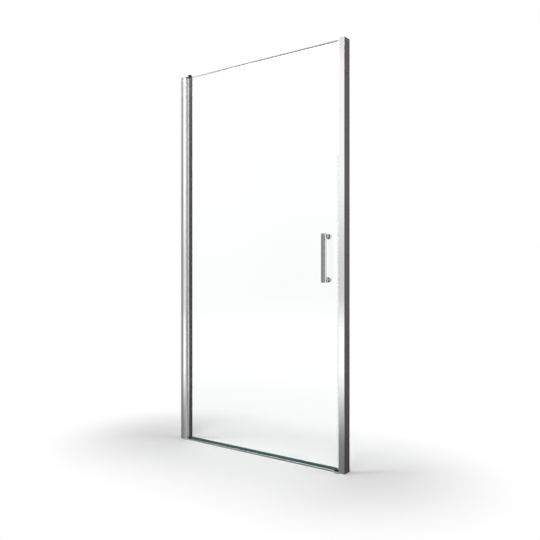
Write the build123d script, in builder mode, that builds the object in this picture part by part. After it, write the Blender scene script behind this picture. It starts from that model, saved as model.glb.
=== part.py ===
from build123d import *
import os

# A pivoting glass shower door for an alcove, closed, with the two wall channels that carry it.
# X runs from the hinge wall to the strike wall, Y = 0 is the middle of the glass and -Y is outside the shower,
# Z = 0 is the surface that the sill lies on. All sizes are in millimetres.

# The opening and the glass
opening_width = 962.0
screen_height = 1850.0
glass_thickness = 6.0
glass_arris = 0.6

# The wall channels, which take up walls that are out of true
channel_depth = 44.0
hinge_channel_reach = 14.0
strike_channel_reach = 28.0
channel_wall = 1.6
channel_edge_radius = 1.2
sealant_groove_width = 15.0
sealant_groove_depth = 0.5
wall_screw_hole = 5.5
wall_screw_end_distance = 150.0
wall_screw_count = 3
cap_thickness = 3.0
cap_edge = 0.8
cap_plug_depth = 5.0
cap_plug_clearance = 0.15

# The jambs, which slide in the wall channels and are screwed through their inner flange
jamb_slide_clearance = 0.3
jamb_wall = 1.5
hinge_jamb_length = 27.0
strike_jamb_length = 21.0
hinge_jamb_show = 18.0
strike_jamb_show = 2.0
screw_port_radius = 3.2
screw_port_bore = 3.4
screw_port_setback = 11.0
jamb_screw_diameter = 3.5
jamb_screw_length = 11.0
jamb_screw_head = 6.6
jamb_screw_head_height = 2.2
jamb_screw_recess = 1.7
jamb_screw_setback = 5.0
jamb_screw_end_distance = 200.0
jamb_screw_count = 3
screw_clearance = 0.1
cover_radius = 4.6
cover_height = 3.6
cover_wall = 1.1
cover_edge = 0.9

# The hinge stile, a round tube with two jaws that hold the glass
stile_radius = 10.0
stile_clearance = 0.5
stile_bore = 9.2
cove_gap = 2.5
jaw_reach = 15.0
jaw_wall = 1.5
gasket_thickness = 1.0
gasket_lip = 1.4
jaw_slot_start = 6.2

# The two pivots
pin_diameter = 6.0
pin_clearance = 0.05
bush_fit = 0.1
bush_flange_thickness = 2.2
bush_flange_margin = 0.3
bush_length = 22.0
pin_engagement = 18.0
rest_gap = 0.3
washer_thickness = 1.0
washer_radius = 8.0
foot_width = 25.0
foot_front = 27.0
foot_back = 18.0
foot_straight_front = 12.0
foot_edge = 1.6
foot_pin_floor = 1.5
bracket_plate = 3.0
bracket_riser_length = 8.0
bracket_riser_width = 16.0
bracket_riser_height = 13.0
bracket_riser_edge = 2.0
bracket_arm_radius = 7.0
bracket_arm_thickness = 4.0
bracket_screw_diameter = 3.3
bracket_screw_length = 14.0
bracket_screw_head = 6.0
bracket_screw_head_height = 1.6
pivot_cap_radius = 9.5
pivot_cap_top = 18.0
pivot_cap_dome = 5.0
pin_head_radius = 4.4
pin_head_height = 2.4
cap_cavity_clearance = 0.1

# The sill and its strike end block
sill_height = 6.0
sill_front = 20.0
sill_back = 20.0
sill_wall = 1.6
sill_front_height = 3.5
sill_top_front = 14.0
sill_top_back = 4.0
sill_back_height = 2.2
sill_rib_width = 2.0
sill_joint = 0.2
end_block_length = 23.0
end_block_wrap = 9.0
end_block_front = 32.0
end_block_edge = 1.6

# The seals and magnets along the strike edge
closing_gap = 0.5
magnet_width = 8.0
magnet_thickness = 2.2
magnet_clearance = 0.05
seal_skin = 0.7
seal_base = 1.2
strike_seal_half_width = 5.8
strike_seal_neck = 3.0
strike_seal_foot = 4.6
strike_pocket_depth = 4.0
strike_pocket_lip = 1.3
strike_pocket_clearance = 0.2
strike_stop_gap = 0.6
strike_stop_thickness = 1.5
strike_stop_reach = 6.0
seal_grip_depth = 7.0
seal_grip_wall = 1.1
seal_glass_clearance = 0.05

# The seal along the bottom of the glass
glass_sill_gap = 3.5
drip_base = 1.0
drip_sill_clearance = 0.5
drip_fin = 0.9
drip_lip_reach = 5.0
drip_jaw_gap = 1.0
seal_end_gap = 0.3

# The seal in the cove between the hinge jamb and the stile
cove_seal_base = 1.0
cove_seal_inner = 6.9
cove_seal_outer = 11.5
cove_seal_tip = 10.55
cove_seal_root = 8.8

# The handle
handle_setback = 60.3
handle_height = 915.0
handle_spacing = 188.0
handle_bar_width = 20.0
handle_bar_thickness = 14.0
handle_bar_edge = 1.5
handle_post_diameter = 24.0
handle_post_length = 18.0
handle_post_edge = 0.6
handle_washer_thickness = 2.0
handle_washer_margin = 0.5
glass_hole = 12.0
handle_bolt_diameter = 6.0
handle_bolt_clearance = 0.1
handle_bolt_engagement = 7.0
handle_bolt_head_radius = 5.0
handle_bolt_head_height = 4.0
handle_bolt_socket = 2.5
cup_length = 13.0
cup_floor = 4.0
cup_wall = 2.5
cup_cover_thickness = 3.0
cup_cover_plug = 3.0
cup_cover_clearance = 0.1
cup_cover_edge = 1.2

# Places worked out from the sizes above
half_opening = opening_width / 2
channel_height = screen_height - cap_thickness
hinge_jamb_height = channel_height - bracket_plate
jamb_width = channel_depth - 2 * (channel_wall + jamb_slide_clearance)
hinge_face = -half_opening + hinge_channel_reach + hinge_jamb_show
strike_face = half_opening - strike_channel_reach - strike_jamb_show
pivot_x = hinge_face + stile_clearance + stile_radius
glass_bottom = sill_height + glass_sill_gap
glass_height = screen_height - glass_bottom
glass_start = pivot_x + jaw_slot_start + gasket_thickness
seal_head = seal_skin + magnet_thickness + 2 * magnet_clearance + seal_skin
door_seal_head = seal_base + magnet_thickness + 2 * magnet_clearance + seal_skin
glass_end = strike_face - seal_head - closing_gap - door_seal_head
handle_x = glass_end - handle_setback
handle_posts = {"upper": handle_height + handle_spacing / 2, "lower": handle_height - handle_spacing / 2}
handle_points = [(handle_x, height) for height in handle_posts.values()]
glass_face = glass_thickness / 2
above_sill = sill_height + sill_joint


def level(z):
    """Horizontal plane at height z: the sketch's x and y are X and Y."""
    return Plane.XY.offset(z)


def facing(y):
    """Upright plane at depth y that looks out of the shower: the sketch's x and y are X and Z."""
    return Plane.XZ.offset(-y)


def section(x):
    """Upright plane across the sill at x: the sketch's x and y are Y and Z."""
    return Plane.YZ.offset(x)


def spread(end_distance, count):
    """Heights of count fixings: one at end_distance from each end of the screen, the rest evenly between."""
    step = (screen_height - 2 * end_distance) / (count - 1)
    return [end_distance + place * step for place in range(count)]


wall_screw_heights = spread(wall_screw_end_distance, wall_screw_count)
jamb_screw_heights = spread(jamb_screw_end_distance, jamb_screw_count)
pieces = {}


# A channel lines each wall: a web on the wall with a groove for sealant, and two flanges that reach out.
def wall_channel(side, channel_reach):
    wall_x = side * half_opening
    middle_x = wall_x - side * channel_reach / 2
    with BuildPart() as channel:
        with BuildSketch(level(0)) as outline:
            with Locations((middle_x, 0)):
                Rectangle(channel_reach, channel_depth)
            fillet(outline.vertices(), channel_edge_radius)
            with Locations((middle_x - side * channel_wall, 0)):
                Rectangle(channel_reach, channel_depth - 2 * channel_wall, mode=Mode.SUBTRACT)
            with Locations((wall_x, 0)):
                Rectangle(2 * sealant_groove_depth, sealant_groove_width, mode=Mode.SUBTRACT)
        extrude(amount=channel_height)
        with BuildSketch(section(wall_x)):
            with Locations(*[(0, height) for height in wall_screw_heights]):
                Circle(wall_screw_hole / 2)
        extrude(amount=2 * channel_wall, both=True, mode=Mode.SUBTRACT)
        with BuildSketch(facing(channel_depth / 2)):
            with Locations(*[(jamb_screw_x(side), height) for height in jamb_screw_heights]):
                Circle(jamb_screw_diameter / 2 + screw_clearance)
        extrude(amount=2 * channel_wall, mode=Mode.SUBTRACT)
    return channel


def jamb_screw_x(side):
    """The jamb screws stand a little back from the open edge of their channel's flange."""
    reach = hinge_channel_reach if side < 0 else strike_channel_reach
    return side * (half_opening - reach + jamb_screw_setback)


pieces["hinge_wall_channel"] = wall_channel(-1, hinge_channel_reach)
pieces["strike_wall_channel"] = wall_channel(1, strike_channel_reach)


# The hinge jamb is a channel whose closed side is hollowed into a cove round the stile.
with BuildSketch(level(0)) as hinge_jamb_hollow:
    with Locations((hinge_face - jamb_wall - hinge_jamb_length / 2, 0)):
        Rectangle(hinge_jamb_length, jamb_width - 2 * jamb_wall)
    with Locations((pivot_x, 0)):
        Circle(stile_radius + cove_gap + jamb_wall, mode=Mode.SUBTRACT)

screw_port_x = hinge_face - screw_port_setback
screw_port_y = jamb_width / 2 - jamb_wall - screw_port_radius + screw_clearance
screw_ports = [(screw_port_x, -screw_port_y), (screw_port_x, screw_port_y)]

with BuildPart() as hinge_jamb:
    with BuildSketch(level(0)):
        with Locations((hinge_face - hinge_jamb_length / 2, 0)):
            Rectangle(hinge_jamb_length, jamb_width)
        with Locations((pivot_x, 0)):
            Circle(stile_radius + cove_gap, mode=Mode.SUBTRACT)
        add(hinge_jamb_hollow.sketch, mode=Mode.SUBTRACT)
        with Locations(*screw_ports):
            Circle(screw_port_radius)
        with Locations(*screw_ports):
            Circle(screw_port_bore / 2, mode=Mode.SUBTRACT)
    extrude(amount=hinge_jamb_height)
    with BuildSketch(facing(jamb_width / 2)):
        with Locations(*[(jamb_screw_x(-1), height) for height in jamb_screw_heights]):
            Circle(jamb_screw_diameter / 2 + screw_clearance / 2)
    extrude(amount=2 * jamb_wall, mode=Mode.SUBTRACT)
pieces["hinge_jamb"] = hinge_jamb


# The strike jamb has a lipped pocket for the magnetic seal and a lip inside that the closed door stops at.
pocket_half_width = strike_seal_foot + strike_pocket_clearance
pocket_box_length = strike_pocket_depth + jamb_wall
stop_y = strike_seal_half_width + strike_stop_gap

with BuildPart() as strike_jamb:
    with BuildSketch(level(0)):
        with Locations((strike_face + strike_jamb_length / 2, 0)):
            Rectangle(strike_jamb_length, jamb_width)
        with Locations((strike_face + jamb_wall + strike_jamb_length / 2, 0)):
            Rectangle(strike_jamb_length, jamb_width - 2 * jamb_wall, mode=Mode.SUBTRACT)
        with Locations((strike_face + pocket_box_length / 2, 0)):
            Rectangle(pocket_box_length, 2 * (pocket_half_width + jamb_wall))
        with Locations((strike_face + strike_pocket_lip + (strike_pocket_depth - strike_pocket_lip) / 2, 0)):
            Rectangle(strike_pocket_depth - strike_pocket_lip, 2 * pocket_half_width, mode=Mode.SUBTRACT)
        with Locations((strike_face, 0)):
            Rectangle(2 * strike_pocket_lip, 2 * (strike_seal_neck + strike_pocket_clearance), mode=Mode.SUBTRACT)
    extrude(amount=channel_height)
    with BuildSketch(level(above_sill)):
        with Locations((strike_face + jamb_wall, stop_y)):
            Rectangle(strike_stop_reach + jamb_wall, strike_stop_thickness, align=(Align.MAX, Align.MIN))
    extrude(amount=channel_height - above_sill)
    with BuildSketch(facing(jamb_width / 2)):
        with Locations(*[(jamb_screw_x(1), height) for height in jamb_screw_heights]):
            Circle(jamb_screw_diameter / 2 + screw_clearance / 2)
    extrude(amount=2 * jamb_wall, mode=Mode.SUBTRACT)
pieces["strike_jamb"] = strike_jamb


# The screws that lock a jamb at its width, and the covers that snap over their heads.
def jamb_screws(side):
    seat_y = channel_depth / 2
    spots = [(jamb_screw_x(side), height) for height in jamb_screw_heights]
    with BuildPart() as screws:
        with BuildSketch(facing(seat_y)):
            with Locations(*spots):
                Circle(jamb_screw_diameter / 2)
        extrude(amount=jamb_screw_length)
        with BuildSketch(facing(seat_y)):
            with Locations(*spots):
                Circle(jamb_screw_head / 2)
        extrude(amount=-jamb_screw_head_height)
        with BuildSketch(facing(seat_y + jamb_screw_head_height)):
            with Locations(*spots):
                RegularPolygon(jamb_screw_recess, 4)
        extrude(amount=jamb_screw_head_height / 2, mode=Mode.SUBTRACT)
    return screws


def screw_covers(side):
    seat_y = channel_depth / 2
    spots = [(jamb_screw_x(side), height) for height in jamb_screw_heights]
    with BuildPart() as covers:
        with BuildSketch(facing(seat_y)):
            with Locations(*spots):
                Circle(cover_radius)
        extrude(amount=-cover_height)
        chamfer(covers.faces().group_by(Axis.Y)[-1].edges(), cover_edge)
        with BuildSketch(facing(seat_y)):
            with Locations(*spots):
                Circle(cover_radius - cover_wall)
        extrude(amount=cover_wall - cover_height, mode=Mode.SUBTRACT)
    return covers


pieces["hinge_jamb_screws"] = jamb_screws(-1)
pieces["strike_jamb_screws"] = jamb_screws(1)
pieces["hinge_screw_covers"] = screw_covers(-1)
pieces["strike_screw_covers"] = screw_covers(1)


# The top pivot bracket: a plate screwed on the jamb, a riser through the cap and an arm over the stile.
stile_top = screen_height
arm_bottom = stile_top + bush_flange_thickness + rest_gap
arm_top = arm_bottom + bracket_arm_thickness
bracket_base = hinge_jamb_height
riser_x = hinge_face - bracket_riser_length / 2

with BuildSketch(level(arm_bottom)) as bracket_arm:
    with Locations((pivot_x, 0)):
        Circle(bracket_arm_radius)
    with Locations((pivot_x, 0)):
        Rectangle(pivot_x - riser_x, 2 * bracket_arm_radius, align=(Align.MAX, Align.CENTER))

with BuildPart() as top_pivot_bracket:
    with BuildSketch(level(bracket_base)):
        with Locations((hinge_face - hinge_jamb_length / 2, 0)):
            Rectangle(hinge_jamb_length, jamb_width)
    extrude(amount=bracket_plate)
    with BuildSketch(level(channel_height)):
        with Locations((riser_x, 0)):
            Rectangle(bracket_riser_length, bracket_riser_width)
    extrude(amount=bracket_riser_height)
    fillet(top_pivot_bracket.faces().sort_by(Axis.Z)[-1].edges(), bracket_riser_edge)
    extrude(bracket_arm.sketch, amount=bracket_arm_thickness)
    with BuildSketch(level(arm_top)):
        with Locations((pivot_x, 0)):
            Circle(pin_diameter / 2 + pin_clearance)
    extrude(amount=-2 * bracket_arm_thickness, mode=Mode.SUBTRACT)
    with Locations(*[(x, y, channel_height) for x, y in screw_ports]):
        CounterBoreHole(bracket_screw_diameter / 2 + screw_clearance, bracket_screw_head / 2 + screw_clearance,
                        bracket_screw_head_height, bracket_plate)
pieces["top_pivot_bracket"] = top_pivot_bracket

with BuildPart() as top_pivot_screws:
    with BuildSketch(level(channel_height - bracket_screw_head_height)):
        with Locations(*screw_ports):
            Circle(bracket_screw_head / 2)
    extrude(amount=bracket_screw_head_height)
    with BuildSketch(level(channel_height - bracket_screw_head_height)):
        with Locations(*screw_ports):
            Circle(bracket_screw_diameter / 2)
    extrude(amount=-bracket_screw_length)
pieces["top_pivot_screws"] = top_pivot_screws

with BuildPart() as top_pivot_pin:
    with BuildSketch(level(arm_top)):
        with Locations((pivot_x, 0)):
            Circle(pin_diameter / 2)
    extrude(amount=-(arm_top - stile_top + pin_engagement))
    with BuildSketch(level(arm_top)):
        with Locations((pivot_x, 0)):
            Circle(pin_head_radius)
    extrude(amount=pin_head_height)
pieces["top_pivot_pin"] = top_pivot_pin

# The black cap is pushed over the arm and hides the head of the pin.
with BuildPart() as top_pivot_cap:
    with BuildSketch(level(arm_bottom)):
        with Locations((pivot_x, 0)):
            Circle(pivot_cap_radius)
    extrude(amount=stile_top + pivot_cap_top - arm_bottom)
    fillet(top_pivot_cap.faces().sort_by(Axis.Z)[-1].edges(), pivot_cap_dome)
    with BuildSketch(level(arm_bottom)):
        with Locations((pivot_x, 0)):
            Circle(bracket_arm_radius + cap_cavity_clearance)
            Rectangle(2 * pivot_cap_radius, 2 * (bracket_arm_radius + cap_cavity_clearance),
                      align=(Align.MAX, Align.CENTER))
    extrude(amount=bracket_arm_thickness + cap_cavity_clearance, mode=Mode.SUBTRACT)
    with BuildSketch(level(arm_top)):
        with Locations((pivot_x, 0)):
            Circle(pin_head_radius + cap_cavity_clearance)
    extrude(amount=pin_head_height + cap_cavity_clearance, mode=Mode.SUBTRACT)
pieces["top_pivot_cap"] = top_pivot_cap


# Each wall channel ends in a moulded cap with a plug. The hinge cap is notched round the bracket's riser.
def channel_cap(side, cap_length, jamb_length):
    wall_x = side * half_opening
    plug_length = cap_length - channel_wall - jamb_length - 2 * cap_plug_clearance
    with BuildPart() as cap:
        with BuildSketch(level(channel_height)):
            with Locations((wall_x - side * cap_length / 2, 0)):
                Rectangle(cap_length, channel_depth)
        extrude(amount=cap_thickness)
        fillet(cap.edges().filter_by(Axis.Z), channel_edge_radius)
        chamfer(cap.faces().sort_by(Axis.Z)[-1].edges(), cap_edge)
        with BuildSketch(level(channel_height)):
            with Locations((wall_x - side * (channel_wall + cap_plug_clearance + plug_length / 2), 0)):
                Rectangle(plug_length, jamb_width)
        extrude(amount=-cap_plug_depth)
        if side < 0:
            with BuildSketch(level(channel_height)):
                with Locations((riser_x, 0)):
                    Rectangle(bracket_riser_length + 2 * cap_plug_clearance,
                              bracket_riser_width + 2 * cap_plug_clearance)
            extrude(amount=2 * cap_thickness, mode=Mode.SUBTRACT)
    return cap


pieces["hinge_channel_cap"] = channel_cap(-1, half_opening + hinge_face, hinge_jamb_length)
pieces["strike_channel_cap"] = channel_cap(1, half_opening - strike_face, strike_jamb_length)


# The seal in the cove: a flat base on the jamb and a soft lip that points at the stile.
seal_face = hinge_face - pivot_x
lip_tip = Vector(seal_face + cove_seal_base, -cove_seal_inner).normalized() * cove_seal_tip

with BuildPart() as hinge_cove_seal:
    with BuildSketch(level(above_sill)):
        with BuildLine():
            Polyline((hinge_face, -cove_seal_outer), (hinge_face + cove_seal_base, -cove_seal_outer + cove_seal_base),
                     (hinge_face + cove_seal_base, -cove_seal_root), (pivot_x + lip_tip.X, lip_tip.Y),
                     (hinge_face + cove_seal_base / 2, -cove_seal_inner), (hinge_face, -cove_seal_inner), close=True)
        make_face()
    extrude(amount=hinge_jamb_height - above_sill)
pieces["hinge_cove_seal"] = hinge_cove_seal


# The bottom pivot foot: a block with a rounded nose, beside the hinge jamb, that the door's weight rests on.
foot_left = hinge_face + sill_joint
foot_middle = foot_left + foot_width / 2
foot_nose = foot_front - foot_straight_front

with BuildPart() as bottom_pivot_foot:
    with BuildSketch(level(0)):
        with Locations((foot_middle, -foot_straight_front)):
            Ellipse(foot_width / 2, foot_nose)
        with Locations((foot_middle, -foot_straight_front)):
            Rectangle(foot_width, foot_straight_front + foot_back, align=(Align.CENTER, Align.MIN))
    extrude(amount=sill_height)
    chamfer(bottom_pivot_foot.faces().sort_by(Axis.Z)[-1].edges(), foot_edge)
    with BuildSketch(level(foot_pin_floor)):
        with Locations((pivot_x, 0)):
            Circle(pin_diameter / 2 + pin_clearance / 2)
    extrude(amount=sill_height, mode=Mode.SUBTRACT)
pieces["bottom_pivot_foot"] = bottom_pivot_foot

washer_top = sill_height + washer_thickness
bottom_flange = washer_top + rest_gap
stile_bottom = bottom_flange + bush_flange_thickness

with BuildPart() as bottom_pivot_pin:
    with BuildSketch(level(foot_pin_floor)):
        with Locations((pivot_x, 0)):
            Circle(pin_diameter / 2)
    extrude(amount=stile_bottom + pin_engagement - foot_pin_floor)
    chamfer(bottom_pivot_pin.faces().sort_by(Axis.Z)[-1].edges(), pin_diameter / 8)
pieces["bottom_pivot_pin"] = bottom_pivot_pin

with BuildPart() as bottom_thrust_washer:
    with BuildSketch(level(sill_height)):
        with Locations((pivot_x, 0)):
            Circle(washer_radius)
            Circle(pin_diameter / 2 + pin_clearance, mode=Mode.SUBTRACT)
    extrude(amount=washer_thickness)
pieces["bottom_thrust_washer"] = bottom_thrust_washer


# The sill: a low extrusion with a rounded front, a flat top, a fall to the inside and an open underside.
def sill_outline(margin):
    """The sill's outline drawn in by margin, but open at the bottom, where it lies on sealant."""
    with BuildSketch(section(0), mode=Mode.PRIVATE) as outline:
        with BuildLine():
            front_top = (-sill_top_front + margin / 2, sill_height - margin)
            Polyline((-sill_top_front + margin / 2, sill_height - margin), (sill_top_back, sill_height - margin),
                     (sill_back - margin, sill_back_height - margin / 2), (sill_back - margin, 0),
                     (-sill_front + margin, 0), (-sill_front + margin, sill_front_height - margin / 2))
            TangentArc(front_top, (-sill_front + margin, sill_front_height - margin / 2), tangent=(-1, 0))
        make_face()
    return outline


sill_start = foot_left + foot_width + sill_joint
sill_end = strike_face - sill_joint - end_block_length - sill_joint

with BuildPart() as sill:
    extrude(sill_outline(0).sketch, amount=sill_end - sill_start)
    extrude(sill_outline(sill_wall).sketch, amount=sill_end - sill_start, mode=Mode.SUBTRACT)
    with BuildSketch(section(0)):
        Rectangle(sill_rib_width, sill_height - sill_wall / 2, align=(Align.CENTER, Align.MIN))
    extrude(amount=sill_end - sill_start)
sill.part.position = (sill_start, 0, 0)
pieces["sill"] = sill

# The strike end block closes the sill against the jamb and wraps round the front of the post.
block_right = strike_face - sill_joint
block_middle = (block_right - end_block_length + strike_face + end_block_wrap) / 2
block_half = strike_face + end_block_wrap - block_middle

with BuildPart() as strike_end_block:
    with BuildSketch(level(0)):
        with Locations((block_middle, -sill_front)):
            Ellipse(block_half, end_block_front - sill_front)
        with Locations((block_right, -sill_front)):
            Rectangle(end_block_length, sill_front + sill_back, align=(Align.MAX, Align.MIN))
        with Locations((block_right, -channel_depth / 2 - sill_joint)):
            Rectangle(strike_channel_reach, channel_depth, align=(Align.MIN, Align.MIN), mode=Mode.SUBTRACT)
        with Locations((block_right - end_block_length, -sill_front)):
            Rectangle(end_block_length, sill_front + sill_back, align=(Align.MAX, Align.MIN), mode=Mode.SUBTRACT)
    extrude(amount=sill_height)
    chamfer(strike_end_block.faces().sort_by(Axis.Z)[-1].edges(), end_block_edge)
pieces["strike_end_block"] = strike_end_block


# The stile, with jaws for the glass, a bore for the bushes at its ends, and the gasket that grips the glass.
slot_half = glass_face + gasket_thickness

with BuildPart() as hinge_stile:
    with BuildSketch(level(stile_bottom)):
        with Locations((pivot_x, 0)):
            Circle(stile_radius)
            Rectangle(jaw_reach, 2 * (slot_half + jaw_wall), align=(Align.MIN, Align.CENTER))
            Circle(stile_bore / 2, mode=Mode.SUBTRACT)
        with Locations((pivot_x + jaw_slot_start, 0)):
            Rectangle(jaw_reach, 2 * slot_half, align=(Align.MIN, Align.CENTER), mode=Mode.SUBTRACT)
    extrude(amount=stile_top - stile_bottom)
pieces["hinge_stile"] = hinge_stile

with BuildPart() as glazing_gasket:
    with BuildSketch(level(stile_bottom)):
        with Locations((pivot_x + jaw_slot_start, 0)):
            Rectangle(jaw_reach - jaw_slot_start, 2 * slot_half, align=(Align.MIN, Align.CENTER))
        with Locations((pivot_x + jaw_reach, 0)):
            Rectangle(gasket_lip, 2 * (slot_half + jaw_wall / 2), align=(Align.MIN, Align.CENTER))
        with Locations((glass_start, 0)):
            Rectangle(jaw_reach, glass_thickness, align=(Align.MIN, Align.CENTER), mode=Mode.SUBTRACT)
    extrude(amount=stile_top - stile_bottom)
pieces["glazing_gasket"] = glazing_gasket


# A flanged bush closes each end of the stile and turns on its pin.
def stile_bush(end_z, inward):
    with BuildPart() as bush:
        with BuildSketch(level(end_z)):
            with Locations((pivot_x, 0)):
                Circle(stile_radius - bush_flange_margin)
        extrude(amount=-inward * bush_flange_thickness)
        with BuildSketch(level(end_z)):
            with Locations((pivot_x, 0)):
                Circle(stile_bore / 2 - bush_fit)
        extrude(amount=inward * bush_length)
        with BuildSketch(level(end_z - inward * bush_flange_thickness)):
            with Locations((pivot_x, 0)):
                Circle(pin_diameter / 2 + pin_clearance)
        extrude(amount=inward * (bush_flange_thickness + pin_engagement + rest_gap), mode=Mode.SUBTRACT)
    return bush


pieces["stile_top_bush"] = stile_bush(stile_top, -1)
pieces["stile_bottom_bush"] = stile_bush(stile_bottom, 1)


# The glass, toughened and polished, with two holes for the handle.
with BuildPart() as glass_panel:
    with BuildSketch(level(glass_bottom)):
        with Locations((glass_start, 0)):
            Rectangle(glass_end - glass_start, glass_thickness, align=(Align.MIN, Align.CENTER))
    extrude(amount=glass_height)
    chamfer(glass_panel.faces().sort_by(Axis.Z)[-1].edges().filter_by(Axis.X), glass_arris)
    with BuildSketch(facing(glass_face)):
        with Locations(*handle_points):
            Circle(glass_hole / 2)
    extrude(amount=glass_thickness, mode=Mode.SUBTRACT)
pieces["glass_panel"] = glass_panel


# The seal on the strike edge of the glass grips it on both sides and carries one magnet.
grip_half = glass_face + seal_glass_clearance
magnet_slot_width = magnet_width + 2 * magnet_clearance
magnet_slot_depth = magnet_thickness + 2 * magnet_clearance

with BuildPart() as door_magnet_seal:
    with BuildSketch(level(glass_bottom)):
        with Locations((glass_end, 0)):
            Rectangle(seal_grip_depth, 2 * (grip_half + seal_grip_wall), align=(Align.MAX, Align.CENTER))
            Rectangle(door_seal_head, 2 * strike_seal_half_width, align=(Align.MIN, Align.CENTER))
            Rectangle(seal_grip_depth, 2 * grip_half, align=(Align.MAX, Align.CENTER), mode=Mode.SUBTRACT)
        with Locations((glass_end + seal_base, 0)):
            Rectangle(magnet_slot_depth, magnet_slot_width, align=(Align.MIN, Align.CENTER), mode=Mode.SUBTRACT)
    extrude(amount=glass_height)
pieces["door_magnet_seal"] = door_magnet_seal

with BuildPart() as door_magnet_strip:
    with BuildSketch(level(glass_bottom)):
        with Locations((glass_end + seal_base + magnet_clearance, 0)):
            Rectangle(magnet_thickness, magnet_width, align=(Align.MIN, Align.CENTER))
    extrude(amount=glass_height)
pieces["door_magnet_strip"] = door_magnet_strip

# Its twin is pushed into the pocket of the strike jamb and carries the other magnet.
with BuildPart() as strike_magnet_seal:
    with BuildSketch(level(above_sill)):
        with Locations((strike_face, 0)):
            Rectangle(seal_head, 2 * strike_seal_half_width, align=(Align.MAX, Align.CENTER))
            Rectangle(strike_pocket_lip, 2 * strike_seal_neck, align=(Align.MIN, Align.CENTER))
        with Locations((strike_face + strike_pocket_lip, 0)):
            Rectangle(seal_base, 2 * strike_seal_foot, align=(Align.MIN, Align.CENTER))
        with Locations((strike_face - seal_skin, 0)):
            Rectangle(magnet_slot_depth, magnet_slot_width, align=(Align.MAX, Align.CENTER), mode=Mode.SUBTRACT)
    extrude(amount=channel_height - above_sill)
pieces["strike_magnet_seal"] = strike_magnet_seal

with BuildPart() as strike_magnet_strip:
    with BuildSketch(level(above_sill)):
        with Locations((strike_face - seal_skin - magnet_clearance, 0)):
            Rectangle(magnet_thickness, magnet_width, align=(Align.MAX, Align.CENTER))
    extrude(amount=channel_height - above_sill)
pieces["strike_magnet_strip"] = strike_magnet_strip


# The drip seal under the glass: it grips the edge, with two fins over the sill and a lip that throws water in.
drip_start = pivot_x + jaw_reach + gasket_lip + drip_jaw_gap
drip_end = glass_end - seal_grip_depth - seal_end_gap
drip_bottom = sill_height + drip_sill_clearance
drip_outer = grip_half + seal_grip_wall

with BuildPart() as bottom_drip_seal:
    with BuildSketch(section(drip_start)):
        with Locations((0, glass_bottom - drip_base)):
            Rectangle(2 * drip_outer, drip_base + seal_grip_depth, align=(Align.CENTER, Align.MIN))
        with Locations((0, glass_bottom)):
            Rectangle(2 * grip_half, seal_grip_depth, align=(Align.CENTER, Align.MIN), mode=Mode.SUBTRACT)
        with Locations((-drip_outer, drip_bottom), (-drip_fin / 2, drip_bottom)):
            Rectangle(drip_fin, glass_bottom - drip_base - drip_bottom, align=(Align.MIN, Align.MIN))
        with BuildLine():
            Polyline((drip_outer - drip_base, glass_bottom - drip_base), (drip_outer, glass_bottom),
                     (drip_outer + drip_lip_reach, drip_bottom + drip_fin), (drip_outer + drip_lip_reach, drip_bottom),
                     close=True)
        make_face()
    extrude(amount=drip_end - drip_start)
pieces["bottom_drip_seal"] = bottom_drip_seal


# The handle: a flat bar on two round posts, bolted through the glass from a covered cup inside.
post_back = glass_face + handle_washer_thickness
bar_back = post_back + handle_post_length
cup_seat = glass_face + handle_washer_thickness
bolt_radius = handle_bolt_diameter / 2

with BuildPart() as handle_bar:
    with BuildSketch(facing(-bar_back)):
        with Locations((handle_x, handle_height)):
            Rectangle(handle_bar_width, handle_spacing + handle_post_diameter)
    extrude(amount=handle_bar_thickness)
    fillet(handle_bar.edges(), handle_bar_edge)
    with BuildSketch(facing(-bar_back)):
        with Locations(*handle_points):
            Circle(bolt_radius + handle_bolt_clearance)
    extrude(amount=handle_bolt_engagement + handle_bolt_clearance, mode=Mode.SUBTRACT)
pieces["handle_bar"] = handle_bar


def handle_post(height):
    with BuildPart() as post:
        with BuildSketch(facing(-post_back)):
            with Locations((handle_x, height)):
                Circle(handle_post_diameter / 2)
        extrude(amount=handle_post_length)
        chamfer(post.faces().sort_by(Axis.Y)[-1].edges(), handle_post_edge)
        with BuildSketch(facing(-post_back)):
            with Locations((handle_x, height)):
                Circle(bolt_radius + handle_bolt_clearance)
        extrude(amount=handle_post_length, mode=Mode.SUBTRACT)
    return post


def handle_cup(height):
    with BuildPart() as cup:
        with BuildSketch(facing(cup_seat)):
            with Locations((handle_x, height)):
                Circle(handle_post_diameter / 2)
        extrude(amount=-cup_length)
        chamfer(cup.faces().sort_by(Axis.Y)[0].edges(), handle_post_edge)
        with BuildSketch(facing(cup_seat + cup_floor)):
            with Locations((handle_x, height)):
                Circle(handle_post_diameter / 2 - cup_wall)
        extrude(amount=-cup_length, mode=Mode.SUBTRACT)
        with BuildSketch(facing(cup_seat)):
            with Locations((handle_x, height)):
                Circle(bolt_radius + handle_bolt_clearance)
        extrude(amount=-cup_floor, mode=Mode.SUBTRACT)
    return cup


for place, post_z in handle_posts.items():
    pieces[place + "_handle_post"] = handle_post(post_z)
    pieces[place + "_handle_cup"] = handle_cup(post_z)

with BuildPart() as handle_cup_covers:
    with BuildSketch(facing(cup_seat + cup_length)):
        with Locations(*handle_points):
            Circle(handle_post_diameter / 2)
    extrude(amount=-cup_cover_thickness)
    chamfer(handle_cup_covers.faces().group_by(Axis.Y)[-1].edges(), cup_cover_edge)
    with BuildSketch(facing(cup_seat + cup_length)):
        with Locations(*handle_points):
            Circle(handle_post_diameter / 2 - cup_wall - cup_cover_clearance)
    extrude(amount=cup_cover_plug)
pieces["handle_cup_covers"] = handle_cup_covers


def glass_washers(y_start, outward):
    with BuildPart() as washers:
        with BuildSketch(facing(y_start)):
            with Locations(*handle_points):
                Circle(handle_post_diameter / 2 - handle_washer_margin)
                Circle(bolt_radius + handle_bolt_clearance, mode=Mode.SUBTRACT)
        extrude(amount=outward * handle_washer_thickness)
    return washers


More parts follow.
